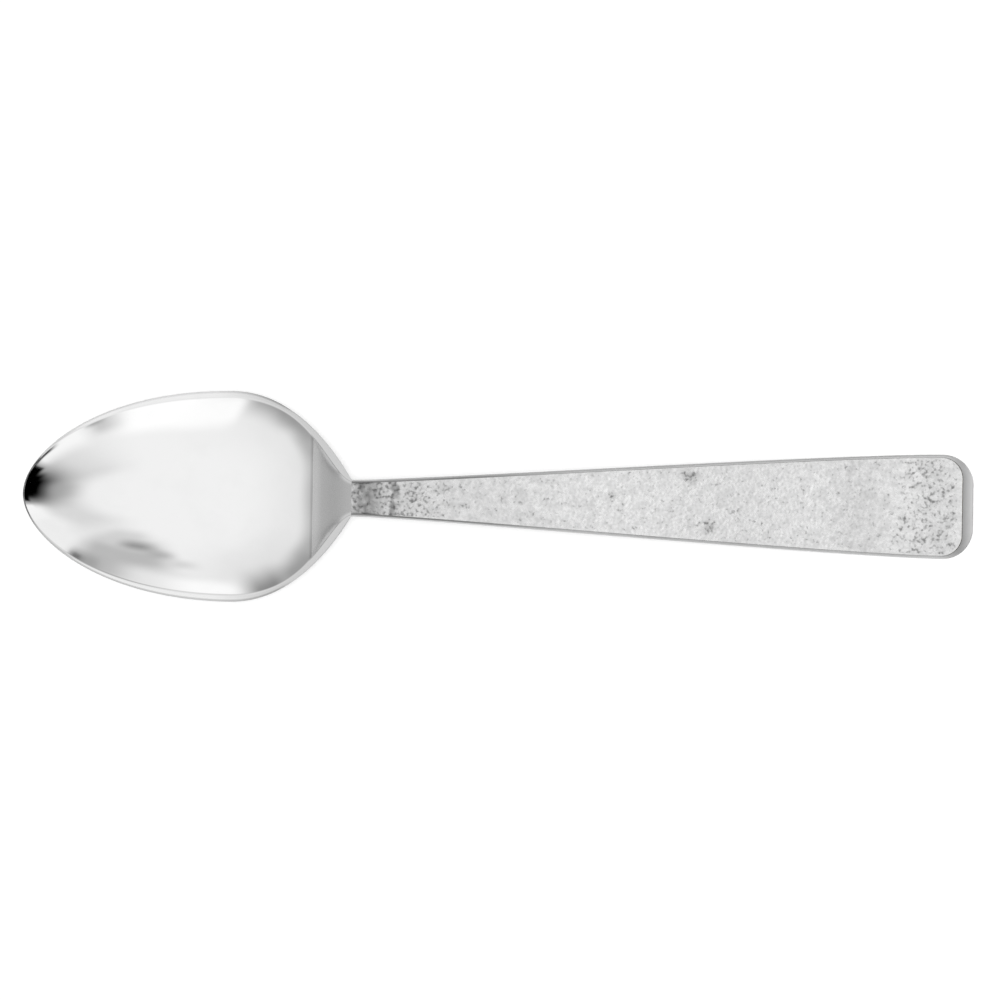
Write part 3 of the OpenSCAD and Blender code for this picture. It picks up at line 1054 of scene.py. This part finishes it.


# Painted shade of the plate at one point, as a share of the steel's tone
def platePaintedShade(x, y, half):
    gone = x - neckX + plate["shadeWave"] * planNoise(x, y, 2, plate["waveLength"])
    patch = 1 + plate["shadePatches"] * planNoise(x, y, 4, plate["patchLength"])
    shade = patch * sum(share * nearTo(gone, middle, reach) for share, middle, reach in plate["neckShades"])
    shade += sum(share * (1 - eased(way(gone, full, none))) for share, full, none in plate["neckFades"])
    share, middle, reach = plate["endShade"]
    shade += share * nearTo(plateEndX - x, middle, reach)
    share, start, full = plate["endFade"]
    shade += share * eased(way(x, plateEndX - start, plateEndX - full))
    share, reach, full, none = plate["sideShade"]
    shade += share * nearTo(half - abs(y), 0, reach) * (1 - eased(way(gone, full, none)))
    return 1 - shade - spotSum(x, y, "shade")


# How close together the flecks lie at one point
def fleckCrowd(x, y, half):
    share, full, none = plate["crowdNeck"]
    crowd = share * (1 - eased(way(x - neckX, full, none)))
    share, start, full = plate["crowdEnd"]
    crowd += share * eased(way(x, plateEndX - start, plateEndX - full))
    crowd += spotSum(x, y, "flecks")
    return crowd - plate["marginClean"] * (1 - textureShare(x, y, half))


def buildPlate():
    straight = [blend(neckX, plateCornerX, i / plate["rows"]) for i in range(plate["rows"])]
    turned = [math.radians(90 * i / plate["cornerRows"]) for i in range(plate["cornerRows"] + 1)]
    places = straight + [plateCornerX + plate["corner"] * math.sin(turn) for turn in turned]
    lines = [(topHeight(x), plateHalf(x)) for x in places]
    across = plate["across"]

    # Columns run over the top, down one side, across the base and up the other side
    base = (across + 1, across + 2)

    def flatPoint(row, column):
        half = lines[row][1]
        if column in base:
            return places[row], half if column == base[0] else -half, half
        return places[row], half * (-1 + 2 * (column % (base[1] + 1)) / across), half

    def pointAt(row, column):
        x, y, half = flatPoint(row, column)
        top = lines[row][0]
        if column in base:
            return x, y, top - plate["thickness"]
        return x, y, top - plate["pitDepth"] * pitShare(x, y) * textureShare(x, y, half)

    # Painted shade, and how close together the flecks lie
    paints = {
        "paintedShade": lambda row, column: platePaintedShade(*flatPoint(row, column)),
        "crowd": lambda row, column: fleckCrowd(*flatPoint(row, column)),
    }
    bm = placedGrid(len(places), base[1] + 2, pointAt, paints)
    holdInside(bm)
    closeSkin(bm)
    softenFaces(bm)
    return addObject("stippled_plate", bm, stippledSteel)


stippledPlate = buildPlate()
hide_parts("textured_panel")
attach(stippledPlate, "root")
print("plate made,", len(stippledPlate.data.polygons), "faces")

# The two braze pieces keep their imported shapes
for nodeName in ("tang_braze_sleeve", "panel_braze_foil"):
    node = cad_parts[nodeName]
    node.data.materials.clear()
    node.data.materials.append(paleBraze)
print("braze pieces finished")

# Studio: a pale floor, a light tent with soft grey cards, and one soft lamp
studio = {
    "floorHalf": 6.0,
    "floorGap": 0.03 * mm,
    "floorTone": 0.62,
    "floorOwnLight": 0.62,       # rest of the way to white, on open floor
    "worldLevel": 0.2,
    "lampSpread": 12,            # degrees, softness of the shadow
    "lampPower": 1.67,
    "tentRadius": 1.6,
    "tentCentre": -0.06,         # along X, over the bowl
    "tentTurns": 240,
    "tentRises": 68,
    "tentLow": -4,               # degrees
}
# Cards of the tent: middle azimuth, half width and soft sides, low and high elevation,
# softness below and above, in degrees, then brightness and share
tentCards = [
    (180, 75, 50, -30, 30, 10, 60, 0.86, 1.0),   # pale grey behind the bowl's back wall
    (128, 26, 30, -30, 34, 10, 30, 0.84, 0.8),
    (180, 28, 24, -30, 14, 10, 11, 0.4, 1.0),    # its low dark edge, and the corners beside it
    (144, 12, 14, -30, 13, 10, 18, 0.38, 1.0),
    (-144, 12, 14, -30, 11, 10, 16, 0.4, 1.0),
    (122, 11, 14, -30, 16, 10, 22, 0.28, 1.0),
    (-123, 14, 14, -30, 12, 10, 22, 0.34, 1.0),
    (0, 66, 36, -20, 65, 10, 14, 0.79, 1.0),     # wide pale shade on the handle's side
    (-10, 26, 36, -20, 54, 10, 32, 0.0, 1.0),    # black card, fading upwards
    (-7, 11, 16, 51, 63, 10, 13, 0.42, 0.6),
    (36, 17, 14, -20, 42, 10, 18, 1.02, 1.0),    # white panels beside it
    (24.5, 6, 4, -20, 31, 10, 5, 1.04, 1.0),
    (50, 12, 6, -20, 40, 10, 30, 0.97, 1.0),
    (-55, 12.5, 6, -20, 26, 10, 20, 1.06, 1.0),
    (-13, 25.5, 3, -20, 29, 10, 6, 0.0, 1.0),    # the black card's firm lower part
    (-13, 18, 10, -20, 38, 10, 8, 0.0, 1.0),
    (-13, 27, 8, -20, 9, 10, 6, 0.8, 1.0),       # its pale foot, which lights the plate in low views
    (-46, 8, 8, -20, 13.5, 10, 3, 0.0, 1.0),
    (78, 12.5, 9, 6, 42, 8, 26, 0.56, 1.0),      # grey cards on the left
    (76, 8, 10, 36, 54, 10, 12, 0.72, 0.9),
    (81.5, 5, 8, 36, 43.5, 7, 9, 0.34, 0.95),
    (68, 5, 4, 6, 18, 6, 12, 0.41, 1.0),
    (65.5, 2, 2, 8, 14, 5, 5, 0.2, 1.0),
    (88, 8, 10, -10, 20, 10, 12, 0.9, 1.0),
    (89, 3, 6, 31, 37, 7, 8, 0.46, 0.85),
    (94, 2.5, 6, 24, 30, 6, 7, 0.66, 0.75),
    (-75.5, 5, 4, 4, 20, 6, 12, 0.66, 1.0),      # small grey cards on the right
    (-71.5, 2.5, 3, 4, 11, 4, 5, 0.42, 1.0),
    (97, 7, 10, -10, 15, 10, 8, 1.1, 1.0),       # white panels at both sides
    (-88, 10, 10, -10, 27, 10, 14, 1.15, 1.0),
    (-100, 7, 8, 8, 27, 6, 16, 1.12, 1.0),
]


# 1 on a card, 0 beside it
def cardCover(place, azimuth, elevation):
    middle, half, softSide, low, high, softLow, softHigh = place
    turn = abs((azimuth - middle + 180) % 360 - 180)
    sides = 1 - eased(way(turn, half - softSide / 2, half + softSide / 2))
    above = eased(way(elevation, low - softLow / 2, low + softLow / 2))
    below = 1 - eased(way(elevation, high - softHigh / 2, high + softHigh / 2))
    return sides * above * below


def tentLevel(azimuth, elevation):
    level = 1.0
    for *place, cardLevel, share in tentCards:
        level = blend(level, cardLevel, share * cardCover(place, azimuth, elevation))
    return level


def makeTent():
    material, tree, output = newSurface("tentCloth")
    glow = addNode(tree, "Emission", {"Strength": paintedShare(tree, "glow")})
    tree.links.new(glow.outputs["Emission"], output.inputs["Surface"])
    turns, rises = studio["tentTurns"], studio["tentRises"]

    def anglesAt(row, column):
        return 360 * row / (turns - 1), blend(studio["tentLow"], 90, column / (rises - 1))  # degrees

    def pointAt(row, column):
        azimuth, elevation = (math.radians(angle) for angle in anglesAt(row, column))
        flat = studio["tentRadius"] * math.cos(elevation)
        x = studio["tentCentre"] + flat * math.cos(azimuth)
        return x, flat * math.sin(azimuth), studio["tentRadius"] * math.sin(elevation)

    bm = placedGrid(turns, rises, pointAt, {"glow": lambda row, column: tentLevel(*anglesAt(row, column))})
    tent = addObject("light_tent", bm, material)
    for kind in ("camera", "diffuse", "transmission", "volume_scatter", "shadow"):
        setattr(tent, "visible_" + kind, False)


# 1 for rays from the camera and from shiny or clear surfaces, if no dull surface came before
def seenRays(tree):
    path = addNode(tree, "LightPath", {})
    seen = sumOf(tree, path.outputs["Is Camera Ray"], path.outputs["Is Glossy Ray"])
    seen = sumOf(tree, seen, path.outputs["Is Transmission Ray"])
    first = addNode(tree, "Math", {0: path.outputs["Diffuse Depth"], 1: 0.5}, operation="LESS_THAN")
    return productOf(tree, seen, first.outputs["Value"])


def makeFloor():
    material, tree, output = newSurface("paleFloor")
    glow = productOf(tree, seenRays(tree), studio["floorOwnLight"])
    ownLight = addNode(tree, "Emission", {"Strength": glow})
    tone = studio["floorTone"]
    paint = addNode(tree, "BsdfDiffuse", {"Color": (tone, tone, tone, 1)})
    both = addNode(tree, "AddShader", {0: paint.outputs[0], 1: ownLight.outputs[0]})
    below = addNode(tree, "NewGeometry", {}).outputs["Backfacing"]
    clear = addNode(tree, "BsdfTransparent", {})  # from below the floor is clear
    oneSided = addNode(tree, "MixShader", {0: below, 1: both.outputs[0], 2: clear.outputs[0]})
    tree.links.new(oneSided.outputs[0], output.inputs["Surface"])
    bm = bmesh.new()
    bmesh.ops.create_grid(bm, x_segments=4, y_segments=4, size=studio["floorHalf"])
    bmesh.ops.translate(bm, verts=bm.verts, vec=(0, 0, -studio["floorGap"]))
    addObject("pale_floor", bm, material)


def makeWorld():
    world = bpy.data.worlds.new("studioWorld")
    world.use_nodes = True
    tree = world.node_tree
    tree.nodes.clear()
    level = mixValue(tree, seenRays(tree), studio["worldLevel"], 1.0)
    sky = addNode(tree, "Background", {"Color": (1, 1, 1, 1), "Strength": level})
    output = tree.nodes.new("ShaderNodeOutputWorld")
    tree.links.new(sky.outputs["Background"], output.inputs["Surface"])
    bpy.context.scene.world = world


def makeLamp():
    data = bpy.data.lights.new("soft_lamp", "SUN")  # straight down, even over the whole floor
    data.angle = math.radians(studio["lampSpread"])
    data.energy = studio["lampPower"]
    lamp = bpy.data.objects.new("soft_lamp", data)
    lamp.visible_camera = False
    lamp.visible_glossy = False  # the steel sees the tent alone
    bpy.context.scene.collection.objects.link(lamp)


makeFloor()
makeTent()
makeWorld()
makeLamp()
bpy.context.scene.view_settings.view_transform = "Standard"
print("studio made")

# Camera: a long lens straight above, turned a little as in the photograph
view = {
    "centre": (0.13 * mm, 0.07 * mm),
    "frameWidth": 209.9 * mm,    # what the image's width covers at the spoon's height
    "spoonHeight": 8 * mm,
    "lens": 222,
    "turn": 0.85,                # degrees
}


def makeCamera():
    data = bpy.data.cameras.new("view_camera")
    data.lens = view["lens"]
    camera = bpy.data.objects.new("view_camera", data)
    distance = view["frameWidth"] * data.lens / data.sensor_width
    camera.location = (*view["centre"], view["spoonHeight"] + distance)
    camera.rotation_euler = (0, 0, math.radians(view["turn"]))
    bpy.context.scene.collection.objects.link(camera)
    bpy.context.scene.camera = camera


makeCamera()
print("camera made")
